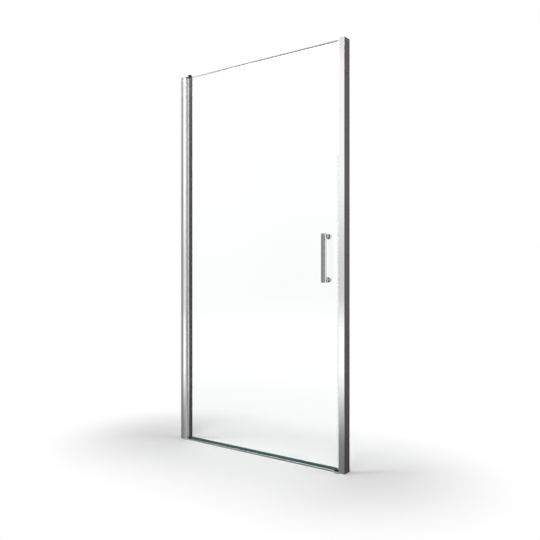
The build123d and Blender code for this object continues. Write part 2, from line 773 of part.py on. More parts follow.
pieces["handle_front_washers"] = glass_washers(-glass_face, 1)
pieces["handle_back_washers"] = glass_washers(glass_face, -1)

with BuildPart() as handle_hole_sleeves:
    with BuildSketch(facing(glass_face)):
        with Locations(*handle_points):
            Circle(glass_hole / 2 - handle_bolt_clearance)
            Circle(bolt_radius + handle_bolt_clearance, mode=Mode.SUBTRACT)
    extrude(amount=glass_thickness)
pieces["handle_hole_sleeves"] = handle_hole_sleeves

bolt_seat = cup_seat + cup_floor

with BuildPart() as handle_bolts:
    with BuildSketch(facing(bolt_seat)):
        with Locations(*handle_points):
            Circle(bolt_radius)
    extrude(amount=bolt_seat + bar_back + handle_bolt_engagement)
    with BuildSketch(facing(bolt_seat)):
        with Locations(*handle_points):
            Circle(handle_bolt_head_radius)
    extrude(amount=-handle_bolt_head_height)
    with BuildSketch(facing(bolt_seat + handle_bolt_head_height)):
        with Locations(*handle_points):
            RegularPolygon(handle_bolt_socket, 6)
    extrude(amount=handle_bolt_head_height / 2, mode=Mode.SUBTRACT)
pieces["handle_bolts"] = handle_bolts


os.makedirs("parts", exist_ok=True)
for label, piece in pieces.items():
    piece.part.label = label
    export_step(piece.part, f"parts/{label}.step")
print(len(pieces), "pieces, stile axis at", pivot_x, "glass from", glass_start, "to", glass_end)
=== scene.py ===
# %% [markdown]
# # A pivoting glass shower door
# A shower door for an alcove is one sheet of clear glass between two bright metal posts. The posts, the pivots, the
# seals and the handle are already solid models, so this lesson dresses them: a camera, a studio, finishes worked out
# from formulas, and a few small mouldings whose soft edges are easier to give as surfaces.

# %% Load the solid model
import math

import bpy
import numpy as np
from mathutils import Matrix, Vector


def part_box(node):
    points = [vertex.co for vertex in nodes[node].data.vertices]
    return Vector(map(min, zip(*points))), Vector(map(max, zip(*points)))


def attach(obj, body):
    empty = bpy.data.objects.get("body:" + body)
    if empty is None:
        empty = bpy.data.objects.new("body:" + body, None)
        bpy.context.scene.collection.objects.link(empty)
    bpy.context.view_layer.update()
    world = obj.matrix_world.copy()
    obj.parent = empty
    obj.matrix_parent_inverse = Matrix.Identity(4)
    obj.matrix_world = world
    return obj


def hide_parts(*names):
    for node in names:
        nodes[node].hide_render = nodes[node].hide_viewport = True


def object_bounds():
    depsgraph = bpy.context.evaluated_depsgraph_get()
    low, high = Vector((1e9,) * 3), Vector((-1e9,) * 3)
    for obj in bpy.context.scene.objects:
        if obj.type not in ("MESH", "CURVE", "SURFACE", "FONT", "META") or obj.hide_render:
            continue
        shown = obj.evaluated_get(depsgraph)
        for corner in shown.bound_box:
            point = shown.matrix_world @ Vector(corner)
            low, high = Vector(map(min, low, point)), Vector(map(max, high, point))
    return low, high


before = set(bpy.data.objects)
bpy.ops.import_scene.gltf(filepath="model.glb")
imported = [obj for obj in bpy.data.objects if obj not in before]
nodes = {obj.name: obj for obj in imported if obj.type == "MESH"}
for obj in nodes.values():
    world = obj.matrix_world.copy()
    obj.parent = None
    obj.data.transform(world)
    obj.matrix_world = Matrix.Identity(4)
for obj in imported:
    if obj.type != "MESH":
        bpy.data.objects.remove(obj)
scene = bpy.context.scene


def as_lists(corners):
    """The corners of a box as plain lists of numbers."""
    return [list(corner) for corner in corners]


solid_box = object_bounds()
print(len(nodes), "solid pieces, box", as_lists(solid_box))

# %% [markdown]
# ## The camera
# The door was photographed from the strike side, a little below the middle of its height, with the camera level.
# A level camera keeps every upright upright in the picture, so only its place, its heading and its lens are free.

# %% Camera
CAMERA_PLACE = (1.8127, -2.3391, 0.8613)
CAMERA_HEADING = math.radians(36.65)
PICTURE_WIDTH = 540
FOCAL_PIXELS = 628.7
HORIZON_BELOW_MIDDLE = 0.5

camera_data = bpy.data.cameras.new("camera")
camera_data.sensor_width = 36.0
camera_data.lens = FOCAL_PIXELS / PICTURE_WIDTH * camera_data.sensor_width
camera_data.shift_y = HORIZON_BELOW_MIDDLE / PICTURE_WIDTH
camera = bpy.data.objects.new("camera", camera_data)
camera.location = CAMERA_PLACE
camera.rotation_euler = (math.pi / 2, 0, CAMERA_HEADING)
scene.collection.objects.link(camera)
scene.camera = camera
print("lens", round(camera_data.lens, 2), "mm")

# %% [markdown]
# ## Writing finishes as sums
# A finish is a small sum over the surface: where a point is, how a pattern falls there, and what colour or gloss that
# gives. Wiring nodes one by one hides the sum, so a Wire stands for a value in the node tree and ordinary signs
# between Wires add the Math nodes. Everything that isn't arithmetic goes through one method of Recipe.


# %% A value that can be added and multiplied
class Wire:
    """One output of a node. Arithmetic on it adds Math nodes to the same tree."""

    def __init__(self, recipe, socket):
        self.recipe = recipe
        self.socket = socket

    def math(self, operation, first, second=0.0):
        return self.recipe.node("ShaderNodeMath", {"operation": operation}, {0: first, 1: second})

    def __add__(self, other):
        return self.math("ADD", self, other)

    def __sub__(self, other):
        return self.math("SUBTRACT", self, other)

    def __rsub__(self, other):
        return self.math("SUBTRACT", other, self)

    def __mul__(self, other):
        return self.math("MULTIPLY", self, other)

    def __abs__(self):
        return self.math("ABSOLUTE", self)

    def __gt__(self, other):
        return self.math("GREATER_THAN", self, other)

    def __lt__(self, other):
        return self.math("LESS_THAN", self, other)

    def most(self, other):
        return self.math("MAXIMUM", self, other)

    __radd__ = __add__
    __rmul__ = __mul__


# %% A node tree that is written as a recipe
class Recipe:
    """A node tree that is filled by one method for every kind of node."""

    def __init__(self, tree):
        self.tree = tree
        tree.nodes.clear()

    def node(self, kind, settings=None, inputs=None, output=0):
        """Adds a node: its settings first, then a value or a Wire for each named input."""
        made = self.tree.nodes.new(kind)
        for name, value in (settings or {}).items():
            setattr(made, name, value)
        for name, value in (inputs or {}).items():
            if isinstance(value, Wire):
                self.tree.links.new(value.socket, made.inputs[name])
            else:
                made.inputs[name].default_value = value
        return Wire(self, made.outputs[output])

    def blend(self, share, first, second):
        """Colour between first and second, by share."""
        return self.node("ShaderNodeMix", {"data_type": "RGBA"}, {0: share, 6: first, 7: second}, 2)

    def ease(self, value, start, end, low=0.0, high=1.0):
        """Rises smoothly from low to high as value goes from start to end."""
        return self.node("ShaderNodeMapRange", {"interpolation_type": "SMOOTHSTEP"},
                         {"Value": value, "From Min": start, "From Max": end, "To Min": low, "To Max": high})

    def split(self, vector):
        """The three numbers of a vector."""
        parts = self.node("ShaderNodeSeparateXYZ", {}, {0: vector}).socket.node
        return [Wire(self, socket) for socket in parts.outputs]

    def place(self):
        """Where the point is on the object, in metres."""
        return self.node("ShaderNodeTexCoord", {}, {}, "Object")

    def facing(self):
        """The way that the surface faces, as x, y and z of the object."""
        normal = self.node("ShaderNodeNewGeometry", {}, {}, "Normal")
        local = self.node("ShaderNodeVectorTransform",
                          {"vector_type": "NORMAL", "convert_from": "WORLD", "convert_to": "OBJECT"}, {0: normal})
        return self.split(local)

    def grain(self, scale, detail=2.0, stretch=(1.0, 1.0, 1.0)):
        """Soft noise from 0 to 1 with scale lumps in a metre, drawn out where a part of stretch is below 1."""
        spread = self.node("ShaderNodeVectorMath", {"operation": "MULTIPLY"}, {0: self.place(), 1: stretch})
        return self.node("ShaderNodeTexNoise", {}, {"Vector": spread, "Scale": scale, "Detail": detail})

    def seen(self):
        """1 for rays that the camera sees the background by, straight or through the glass, and else 0."""
        path = self.node("ShaderNodeLightPath").socket.node.outputs
        direct, passed = Wire(self, path["Is Camera Ray"]), Wire(self, path["Is Transmission Ray"])
        return direct.most(passed * (Wire(self, path["Glossy Depth"]) < 0.5))

    def bump(self, height, depth, strength=1.0):
        """A normal that follows height, depth metres deep."""
        return self.node("ShaderNodeBump", {}, {"Height": height, "Distance": depth, "Strength": strength})

    def surface(self, **sockets):
        """A Principled surface: underscores in a name stand for spaces."""
        return self.node("ShaderNodeBsdfPrincipled", {},
                         {name.replace("_", " "): value for name, value in sockets.items()})

    def end(self, shader, kind="ShaderNodeOutputMaterial"):
        last = self.tree.nodes.new(kind)
        self.tree.links.new(shader.socket, last.inputs["Surface"])


def finish(name, write):
    """A material whose recipe write(recipe) fills and returns the shader of."""
    material = bpy.data.materials.new(name)
    material.use_nodes = True
    recipe = Recipe(material.node_tree)
    recipe.end(write(recipe))
    print(name, "has", len(material.node_tree.nodes), "nodes")
    return material


def grey(level):
    """A colour with the same level of red, green and blue."""
    return (level, level, level, 1.0)


# %% [markdown]
# ## The studio
# Bright metal has no colour of its own: it shows the room. Cards and flags could stand round the door as objects, but
# soft patches in the background are easier to move and cast no shadow. This room is grey, with a wide white card in
# front of the door, a second one behind its strike side, a faint ceiling, and a dark side at the front right. So the
# flat fronts read as white, and the round stile shows a bright stripe beside a dark one. The front card greys towards
# eye level. The background that the camera sees, also through the glass, is plain white.

# %% The room round the door
# A card or a side is a way to look, and an edge: how nearly a ray has to go that way to see none of it and all of it.
# A tone is a start, an end and the brightness at each.
ROOM_GREY = 0.34
FRONT_CARD, FRONT_EDGE = (-0.755, -0.656, 0.0), (0.752, 0.795)
FRONT_CURVE, FRONT_LEAN = 0.3, 0.25
FRONT_TONE = (-0.01, 0.16, 0.72, 1.06)
FRONT_TOP_TONE = (0.312, 0.335, 0.0, 0.20)
FRONT_LEFT_TONE = (-0.66, -0.56, 0.16, 0.0)
BACK_CARD, BACK_CARD_EDGE = (0.588, 0.809, 0.0), (0.78, 0.95)
DARK_SIDE, DARK_EDGE = (0.809, -0.588, 0.0), (0.24, 0.60)
DARK_SHARE = 0.86
CEILING_EDGE = (0.45, 0.90)
CEILING_SHARE = 0.18

world = bpy.data.worlds.new("room")
world.use_nodes = True
room = Recipe(world.node_tree)
direction = room.node("ShaderNodeTexCoord", {}, {}, "Generated")
across, _, height = room.split(direction)


def towards(way):
    """How nearly a ray goes a way: the cosine of the angle between them."""
    return room.node("ShaderNodeVectorMath", {"operation": "DOT_PRODUCT"}, {0: direction, 1: way}, "Value")


front_tone = (room.ease(height, *FRONT_TONE) - room.ease(height, *FRONT_TOP_TONE)
              + room.ease(across, *FRONT_LEFT_TONE))
front = room.ease(towards(FRONT_CARD) + height * height * FRONT_CURVE - height * FRONT_LEAN, *FRONT_EDGE)
back = room.ease(towards(BACK_CARD), *BACK_CARD_EDGE)
ceiling = room.ease(height, *CEILING_EDGE, 0.0, CEILING_SHARE)
dark = room.ease(towards(DARK_SIDE), *DARK_EDGE, 0.0, DARK_SHARE)
side_tone = ROOM_GREY + back.most(ceiling) * (1.0 - ROOM_GREY) - dark * ROOM_GREY
room_light = side_tone * (1 - front) + front_tone * front
seen = room.seen()
level = room_light * (1 - seen) + seen
colour = room.node("ShaderNodeCombineColor", {}, {0: level, 1: level, 2: level})
room.end(room.node("ShaderNodeBackground", {}, {"Color": colour, "Strength": 1.0}), "ShaderNodeOutputWorld")
scene.world = world
print("room has", len(world.node_tree.nodes), "nodes")

# %% [markdown]
# The floor is a white sheet. Near the door it is an ordinary lit surface, so it keeps the door's soft shadow, and
# further off it turns to the white of the background, so no edge of it shows. What the metal mirrors of it is painted
# shade: grey close to the door, so the posts go grey at their feet, and dark at the front right, under the dark side
# of the room.

# %% Floor
# Tones of painted shade are a start, an end and the brightness at each, over metres from the door or along x.
FLOOR_REACH = 12.0
FLOOR_DROP = 0.0002
FLOOR_GREY = 0.80
WHITE_FROM = (0.10, 0.75)
NEAR_SHADE = (0.0, 2.6, 0.20, 1.06)
FAR_TONE = (5.0, 12.0, 0.0, 0.34)
LEFT_TONE = (-0.3, 0.3, 0.13, 0.0)
SIDE_SHADE, SIDE_SLANT, SIDE_FROM = (-0.42, 0.10, 0.0, 0.90), 0.10, (0.9, 1.5)
FAR_SHADE, FAR_SLANT, FAR_FROM = (-0.46, -0.20, 0.0, 0.90), 0.14, (1.9, 2.4)
half_width = max(abs(solid_box[0][0]), abs(solid_box[1][0]))


def floor_finish(recipe):
    """White and lit for the camera, with painted shade for what mirrors it.

    The distance from the door is the root of (|x| - half_width, but not below 0) squared plus y squared."""
    x, y, _ = recipe.split(recipe.place())
    beyond = (abs(x) - half_width).most(0.0)
    distance = recipe.node("ShaderNodeMath", {"operation": "SQRT"}, {0: beyond * beyond + y * y})
    seen = recipe.seen()
    mirrored = Wire(recipe, recipe.node("ShaderNodeLightPath").socket.node.outputs["Is Glossy Ray"]) * (1 - seen)
    lit = recipe.node("ShaderNodeBsdfDiffuse", {}, {"Color": grey(FLOOR_GREY)})
    white = recipe.node("ShaderNodeEmission", {}, {"Color": grey(1.0)})
    # Painted shade for the metal to mirror: grey near the door, darker far off, lighter to the left, dark at the front
    # right.
    tone = recipe.ease(distance, *NEAR_SHADE) - recipe.ease(distance, *FAR_TONE) + recipe.ease(x, *LEFT_TONE)
    side_shade = recipe.ease(x + y * SIDE_SLANT, *SIDE_SHADE) * recipe.ease(distance, *SIDE_FROM)
    far_shade = recipe.ease(x - y * FAR_SLANT, *FAR_SHADE) * recipe.ease(distance, *FAR_FROM)
    tone = tone * (1 - side_shade.most(far_shade) * (y < 0.0))
    mirrored_shade = recipe.node("ShaderNodeCombineColor", {}, {0: tone, 1: tone, 2: tone})
    shade = recipe.node("ShaderNodeEmission", {}, {"Color": mirrored_shade})
    plain = recipe.node("ShaderNodeMixShader", {}, {0: seen * recipe.ease(distance, *WHITE_FROM), 1: lit, 2: white})
    return recipe.node("ShaderNodeMixShader", {}, {0: mirrored, 1: plain, 2: shade})


floor_mesh = bpy.data.meshes.new("floor")
floor_mesh.from_pydata([(side_x * FLOOR_REACH, side_y * FLOOR_REACH, -FLOOR_DROP)
                        for side_x, side_y in ((-1, -1), (1, -1), (1, 1), (-1, 1))], [], [(0, 1, 2, 3)])
floor_mesh.materials.append(finish("floor", floor_finish))
floor = bpy.data.objects.new("floor", floor_mesh)
scene.collection.objects.link(floor)
print("floor", floor.dimensions[:])

# %% [markdown]
# Four large soft lamps give the satin and moulded pieces their shading. They stand high and to the sides, where no
# flat face of the door mirrors them at the camera.

# %% Lamps
# Each lamp has a place in metres, the side of its square in metres and its power in watts.
LAMPS = {"key": ((-3.6, -3.1, 4.4), 2.2, 88.0), "fill": ((0.6, -1.7, 2.9), 0.9, 26.0),
         "strike_side": ((2.9, 1.3, 1.7), 2.0, 34.0), "back": ((-1.0, 2.6, 3.0), 2.4, 22.0)}
DOOR_MIDDLE = np.array([0.0, 0.0, 0.9])


def turn_towards(start, target):
    """Euler angles that point a lamp's -Z axis from start at target."""
    way = np.asarray(target) - np.asarray(start)
    flat = math.hypot(way[0], way[1])
    return (math.atan2(flat, -way[2]), 0.0, math.atan2(way[1], way[0]) - math.pi / 2)


for name, (place, size, power) in LAMPS.items():
    lamp_data = bpy.data.lights.new(name, "AREA")
    lamp_data.size = size
    lamp_data.energy = power
    lamp = bpy.data.objects.new(name, lamp_data)
    lamp.location = place
    lamp.rotation_euler = turn_towards(place, DOOR_MIDDLE)
    scene.collection.objects.link(lamp)
scene.view_settings.view_transform = "Standard"
print(len(LAMPS), "lamps")

# %% [markdown]
# ## Extruded profiles
# The posts and the sill are aluminium, pushed through a die. The die leaves faint lines along the bar, so the noise
# for roughness is drawn out along it. The strike jamb is polished and anodised bright, the sill is a darker grey, and
# the channel on the hinge wall is only satin. The face that goes on a wall is dull, and its dark grey-brown is painted
# shade, in three bands across the sealant groove in its middle. A face could have a finish of its own, but that cuts
# the mesh up.
# Here such faces are picked out by where they lie and the way that they face.

# %% Die lines
LINES_PER_METRE = 900.0
LINE_DEPTH = 0.000006
DRAWN_OUT = 0.004


def along(axis):
    """Stretches a pattern along one axis of the object, into lines."""
    return tuple(DRAWN_OUT if i == axis else 1.0 for i in range(3))


print("a line is", round(1 / DRAWN_OUT), "times as long as it is wide")

# %% Channels, strike jamb and sill
# Painted shade: the dark grey-brown of the wall face, in bands outside, in and inside the sealant groove.
WALL_SHADE_OUTSIDE = (0.052, 0.048, 0.046, 1.0)
WALL_SHADE_GROOVE = (0.092, 0.076, 0.073, 1.0)
WALL_SHADE_INSIDE = (0.062, 0.049, 0.051, 1.0)
WALL_FACING = 0.7
WALL_DEPTH = 0.0008
GROOVE_HALF_WIDTH = 0.0075
ALONG_X, ALONG_Z = 0, 2


def extruded(pale, dark, rough, axis=ALONG_Z, metallic=1.0):
    """Aluminium between pale and dark, of roughness rough, with die lines along an axis and a dull wall face painted
    dark as shade.

    The wall face lies within WALL_DEPTH of a wall and faces it by more than WALL_FACING, or by less behind y = 0."""
    def write(recipe):
        x, y, _ = recipe.split(recipe.place())
        face_x = recipe.facing()[0]
        wall = (abs(face_x) + (y > 0.0) * 0.5 > WALL_FACING) * (abs(x) > half_width - WALL_DEPTH)
        lines = recipe.grain(LINES_PER_METRE, 3.0, along(axis))
        cloud = recipe.grain(9.0, 2.0)
        # The wall face is painted dark as shade, in bands across the sealant groove.
        behind = recipe.blend(y > -GROOVE_HALF_WIDTH, WALL_SHADE_OUTSIDE, WALL_SHADE_GROOVE)
        wall_shade_colour = recipe.blend(y > GROOVE_HALF_WIDTH, behind, WALL_SHADE_INSIDE)
        metal = recipe.blend(cloud * 0.5 + lines * 0.2, grey(pale), grey(dark))
        return recipe.surface(
            Base_Color=recipe.blend(wall, metal, wall_shade_colour), Metallic=(1 - wall * 0.85) * metallic,
            Roughness=rough + lines * 0.05 + cloud * 0.03 + wall * 0.5, Normal=recipe.bump(lines, LINE_DEPTH, 0.5))
    return write


polished_profile = finish("polished_profile", extruded(0.90, 0.82, 0.055))
sill_profile = finish("sill_profile", extruded(0.62, 0.52, 0.12, ALONG_X))
satin_profile = finish("satin_profile", extruded(0.38, 0.33, 0.46, metallic=0.45))

# %% [markdown]
# The stile that the door turns on is a polished tube with dark jaws for the glass, and a black ring closes its top.
# The hinge jamb beside it is polished too, but for the side and the cove that the stile turns in, which are matt.

# %% Stile
JAW_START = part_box("glazing_gasket")[0].x
JAW_ROOT = 0.0028
STILE_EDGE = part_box("hinge_stile")[1].x
STILE_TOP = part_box("hinge_stile")[1].z
TOP_RING = 0.0060


def stile_finish(recipe):
    """A polished tube: its jaws are dark from JAW_ROOT before JAW_START on, and its top is black over TOP_RING."""
    x, _, z = recipe.split(recipe.place())
    jaws = x > JAW_START - JAW_ROOT
    ring = z > STILE_TOP - TOP_RING
    lines = recipe.grain(LINES_PER_METRE, 3.0, along(ALONG_Z))
    metal = recipe.blend(jaws, grey(0.84), grey(0.10))
    return recipe.surface(
        Base_Color=recipe.blend(ring, metal, grey(0.012)), Metallic=(1 - jaws * 0.55) * (1 - ring),
        Roughness=0.07 + jaws.most(ring) * 0.25 + lines * 0.05, Normal=recipe.bump(lines, LINE_DEPTH, 0.5),
        Specular_IOR_Level=0.25)


stile_profile = finish("stile_profile", stile_finish)

# %% Hinge jamb
CHANNEL_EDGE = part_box("hinge_wall_channel")[1].x
SIDE_FACING = 0.35
FRONT_FACING = 0.9


def jamb_finish(recipe):
    """Polished, but matt and pale on what faces the stile: x faces of more than SIDE_FACING past the channel."""
    face_x, face_y, _ = recipe.facing()
    side = (face_x > SIDE_FACING) * (abs(face_y) < FRONT_FACING) * (recipe.split(recipe.place())[0] > CHANNEL_EDGE)
    lines = recipe.grain(LINES_PER_METRE, 3.0, along(ALONG_Z))
    return recipe.surface(
        Base_Color=recipe.blend(lines, grey(0.90), grey(0.84)), Metallic=1 - side * 0.9,
        Roughness=0.06 + side * 0.5 + lines * 0.05, Normal=recipe.bump(lines, LINE_DEPTH, 0.5))


jamb_profile = finish("jamb_profile", jamb_finish)

# %% [markdown]
# One moulded cap closes the hinge post. It is dull over the wall channel and polished over the jamb, where it meets
# the bracket that holds the upper pivot. The bracket is satin chrome, and the socket of its screw is too small to be
# worth a hole here, so the shade in it is painted as a dark disc.

# %% Cap of the hinge post and bracket of the pivot
SOCKET_PLACE = (JAW_START - 0.0187, STILE_TOP + 0.0020)
SOCKET_RADIUS = 0.0026
SOCKET_FACING = 0.7
FINE_DEPTH = 0.00001
TURNED_PER_METRE = 1800.0


def cap_finish(recipe):
    """Dull as far as the wall channel's edge, and polished after it."""
    over_channel = recipe.split(recipe.place())[0] < CHANNEL_EDGE
    cloud = recipe.grain(40.0, 2.0)
    return recipe.surface(
        Base_Color=recipe.blend(over_channel, grey(0.86), grey(0.22)), Metallic=1 - over_channel * 0.55,
        Roughness=0.06 + over_channel * 0.38 + cloud * 0.04, Normal=recipe.bump(cloud, FINE_DEPTH, 0.4))


def bracket_finish(recipe):
    """Fine satin, painted dark as the shade in the socket where across squared plus up squared from SOCKET_PLACE is
    less than SOCKET_RADIUS squared.
    """
    x, _, z = recipe.split(recipe.place())
    across, up = x - SOCKET_PLACE[0], z - SOCKET_PLACE[1]
    # Painted shade: the socket of the screw, a dark disc on the faces that look along y.
    socket_shade_disc = across * across + up * up < SOCKET_RADIUS * SOCKET_RADIUS
    socket = socket_shade_disc * (abs(recipe.facing()[1]) > SOCKET_FACING)
    turned = recipe.grain(TURNED_PER_METRE, 2.0)
    return recipe.surface(
        Base_Color=recipe.blend(socket, grey(0.58), grey(0.06)), Metallic=(1 - socket) * 0.45,
        Roughness=0.30 + turned * 0.10, Normal=recipe.bump(turned, FINE_DEPTH, 0.4))


hinge_cap_finish = finish("hinge_cap_finish", cap_finish)
satin_bracket = finish("satin_bracket", bracket_finish)

# %% [markdown]
# ## Chrome and satin
# Chrome plate is a mirror with faint smears where hands and cloths have been. The bar of the handle is brushed along
# its length on its broad faces, in fine upright strokes with more roughness, and painted a dark grey there as painted
# shade. Its narrow sides are polished and pale, and a dark line of painted shadow runs along their back edge. The
# posts and the cups behind the glass are brushed more finely, with a dark ring where a post meets the glass.


# %% Chrome plate and steel
def chrome_plate(recipe):
    """A mirror, a little rougher where smears fall, with the faint waves of plating."""
    smear = recipe.grain(55.0, 3.0)
    waves = recipe.grain(900.0, 1.0)
    return recipe.surface(
        Base_Color=recipe.blend(smear, (0.93, 0.93, 0.94, 1.0), (0.86, 0.86, 0.87, 1.0)), Metallic=1.0,
        Roughness=0.045 + recipe.ease(smear, 0.45, 0.75) * 0.07, Normal=recipe.bump(waves, FINE_DEPTH, 0.4))


def steel(recipe):
    """Turned stainless steel for pins, screws and bolts."""
    turned = recipe.grain(1500.0, 2.0)
    return recipe.surface(
        Base_Color=recipe.blend(turned, grey(0.50), grey(0.64)), Metallic=1.0, Roughness=0.22 + turned * 0.16,
        Normal=recipe.bump(turned, 2 * FINE_DEPTH, 0.5))


chrome = finish("chrome", chrome_plate)
stainless_steel = finish("stainless_steel", steel)

# %% Bar of the handle
BAR_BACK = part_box("handle_bar")[1].y
BACK_STRIP = 0.0046
BAR_SIDE_FACING = 0.85


def brushed_bar(recipe):
    """Brushed and painted grey as shade, polished and pale where it faces sideways, and painted dark there as shadow
    within BACK_STRIP of the bar's back.
    """
    side = abs(recipe.facing()[0]) > BAR_SIDE_FACING
    # Painted shadow: a dark line along the back edge of the sides.
    back_edge_shadow = side * (recipe.split(recipe.place())[1] > BAR_BACK - BACK_STRIP)
    strokes = recipe.grain(2600.0, 3.0, along(ALONG_Z))
    rub = recipe.grain(30.0, 2.0)
    # Painted shade: the broad faces are a dark grey against the pale sides.
    brushed = recipe.blend(strokes, grey(0.24), grey(0.35))
    return recipe.surface(
        Base_Color=recipe.blend(back_edge_shadow, recipe.blend(side, brushed, grey(0.92)), grey(0.12)), Metallic=1.0,
        Roughness=(0.26 + strokes * 0.14 - rub * 0.06) * (1 - side * 0.7),
        Normal=recipe.bump(strokes, 2 * FINE_DEPTH, 0.5))


satin_handle = finish("satin_handle", brushed_bar)

# %% Posts and cups of the handle
POST_RING_START = -0.0080


def brushed_chrome(recipe):
    """Finely brushed, with a dark ring from POST_RING_START to the glass."""
    y = recipe.split(recipe.place())[1]
    ring = (y > POST_RING_START) * (y < 0.0)
    turned = recipe.grain(TURNED_PER_METRE, 2.0)
    metal = recipe.blend(turned, grey(0.58), grey(0.68))
    return recipe.surface(
        Base_Color=recipe.blend(ring, metal, grey(0.09)), Metallic=(1 - ring) * 0.30,
        Roughness=0.36 + turned * 0.10, Normal=recipe.bump(turned, FINE_DEPTH, 0.4))


brushed_posts = finish("brushed_posts", brushed_chrome)

# %% [markdown]
# ## Glass
# Toughened glass is clear through its faces and green through its edges, because there the light has come a long way
# inside. So the faces are a clear shader and the ground edges, found by the way that they face, are a dark sea green.
# The top edge is the only bare one, and a narrow band below it is painted grey, painted shade that stands for the
# edge seen through the face, and it pales towards the hinge. Lamps shine straight through a door, so rays that look
# for a lamp go through the clear faces unbent.

# %% Glass
CLEAR_TINT = (0.988, 0.997, 0.994, 1.0)
SHADOW_TINT = (0.95, 0.98, 0.97, 1.0)
EDGE_GREEN, EDGE_GREEN_PALE = (0.035, 0.092, 0.092, 1.0), (0.060, 0.125, 0.128, 1.0)
EDGE_FACING = 0.75
# Painted shade: the grey band below the top edge, paler towards the hinge.
TOP_SHADE_PALE, TOP_SHADE_DARK = (0.58, 0.60, 0.59, 1.0), (0.235, 0.245, 0.242, 1.0)
TOP_SHADE_BAND = 0.0062
TOP_SHADE_RUN = (-0.40, -0.12)
glass_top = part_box("glass_panel")[1].z


def glass(recipe):
    """Clear where it faces front or back, matt on its edges, and painted grey as shade in a narrow band below its top.
    """
    x, _, z = recipe.split(recipe.place())
    band = z > glass_top - TOP_SHADE_BAND
    edge = (abs(recipe.facing()[1]) < EDGE_FACING).most(band)
    frost = recipe.grain(2500.0, 2.0)
    drift = recipe.grain(7.0, 2.0)
    clear = recipe.surface(Base_Color=CLEAR_TINT, Roughness=0.0, IOR=1.5, Transmission_Weight=1.0)
    through = recipe.node("ShaderNodeBsdfTransparent", {}, {0: SHADOW_TINT})
    shadow = Wire(recipe, recipe.node("ShaderNodeLightPath").socket.node.outputs["Is Shadow Ray"])
    pane = recipe.node("ShaderNodeMixShader", {}, {0: shadow, 1: clear, 2: through})
    green = recipe.blend(drift, EDGE_GREEN, EDGE_GREEN_PALE)
    # The band below the top edge is painted grey as shade, paler towards the hinge.
    top_shade = recipe.blend(recipe.ease(x, *TOP_SHADE_RUN), TOP_SHADE_PALE, TOP_SHADE_DARK)
    rim = recipe.surface(
        Base_Color=recipe.blend(band, green, top_shade), Roughness=0.22 + frost * 0.18,
        Normal=recipe.bump(frost, 0.00003, 0.4))
    return recipe.node("ShaderNodeMixShader", {}, {0: edge, 1: pane, 2: rim})


clear_glass = finish("clear_glass", glass)

# %% [markdown]
# ## Seals, rubber and mouldings
# The magnetic seals are clear soft plastic, cloudy enough to read as pale grey, and the lip in the cove is a pale
# green. The drip seal is clear where it grips the glass, and low on its outer side it takes the green of the glass's
# bottom edge. The gasket is painted dark between the jaws, painted shade where they grip it, and is clear on its rear
# lip. All have one faint haze, drawn out along the strip.

# %% Seals
HAZE_PER_METRE = 60.0
HAZE_DRAWN_OUT = 0.15
HAZE_DEPTH = 0.00005
CLOUDY, CLEAR = (0.86, 0.90, 0.90, 1.0), (0.94, 0.96, 0.96, 1.0)
COVE_GREEN, COVE_GREEN_PALE = (0.66, 0.76, 0.74, 1.0), (0.76, 0.85, 0.83, 1.0)


def upright_haze(recipe):
    """Haze that is drawn out upwards, as on a strip that came from its nozzle that way."""
    return recipe.grain(HAZE_PER_METRE, 3.0, (1.0, 1.0, HAZE_DRAWN_OUT))


def soft_plastic(low, high, alpha, rough):
    """Plastic between two colours by its haze, of a given alpha and roughness."""
    def write(recipe):
        haze = upright_haze(recipe)
        return recipe.surface(
            Base_Color=recipe.blend(haze, low, high), Alpha=alpha, Roughness=rough + haze * 0.12,
            Normal=recipe.bump(haze, HAZE_DEPTH, 0.3))
    return write


clear_seal = finish("clear_seal", soft_plastic(CLOUDY, CLEAR, 0.26, 0.14))
cove_seal = finish("cove_seal", soft_plastic(COVE_GREEN, COVE_GREEN_PALE, 1.0, 0.22))

# %% Drip seal and gasket
GREEN_TOP = 0.0150
TINT, TINT_PALE = (0.045, 0.125, 0.118, 1.0), (0.080, 0.165, 0.160, 1.0)
# Painted shade: the dark of the gasket between the jaws.
JAW_SHADE = (0.030, 0.034, 0.034, 1.0)
LIP_OVERLAP = 0.0008


def tinted_edge(recipe):
    """Clear plastic that takes the green of the glass below GREEN_TOP on its outer side."""
    _, y, z = recipe.split(recipe.place())
    haze = recipe.grain(HAZE_PER_METRE, 3.0, (HAZE_DRAWN_OUT, 1.0, 1.0))
    green = (z < GREEN_TOP) * (y < 0.0)
    return recipe.surface(
        Base_Color=recipe.blend(green, (0.86, 0.90, 0.89, 1.0), recipe.blend(haze, TINT, TINT_PALE)),
        Alpha=0.16 + green * 0.80, Roughness=0.12 + haze * 0.10, Normal=recipe.bump(haze, HAZE_DEPTH, 0.3))


def gripped(recipe):
    """Painted dark as shade where the jaws grip it, and clear on the lip behind the glass, from LIP_OVERLAP before
    STILE_EDGE on.
    """
    x, y, _ = recipe.split(recipe.place())
    lip = (x > STILE_EDGE - LIP_OVERLAP) * (y > 0.0)
    haze = upright_haze(recipe)
    return recipe.surface(
        Base_Color=recipe.blend(lip, JAW_SHADE, CLEAR), Alpha=0.90 - lip * 0.65, Roughness=0.24 + haze * 0.12,
        Normal=recipe.bump(haze, HAZE_DEPTH, 0.3))


drip_seal = finish("drip_seal", tinted_edge)
gasket = finish("gasket", gripped)

# %% [markdown]
# The small black pieces are nylon with the fine spark texture of a mould, and the magnets are a brown-grey rubber. The
# block at the end of the sill is one solid painted in two ways, a black top of painted dark reflection and a pale
# metallic rim of painted bright reflection, so the way that its surface faces chooses between them.

# %% Mouldings
# Painted reflection: dark on the block's top, bright on its rounded rim.
REFLECTION_FACING = (0.90, 0.98)


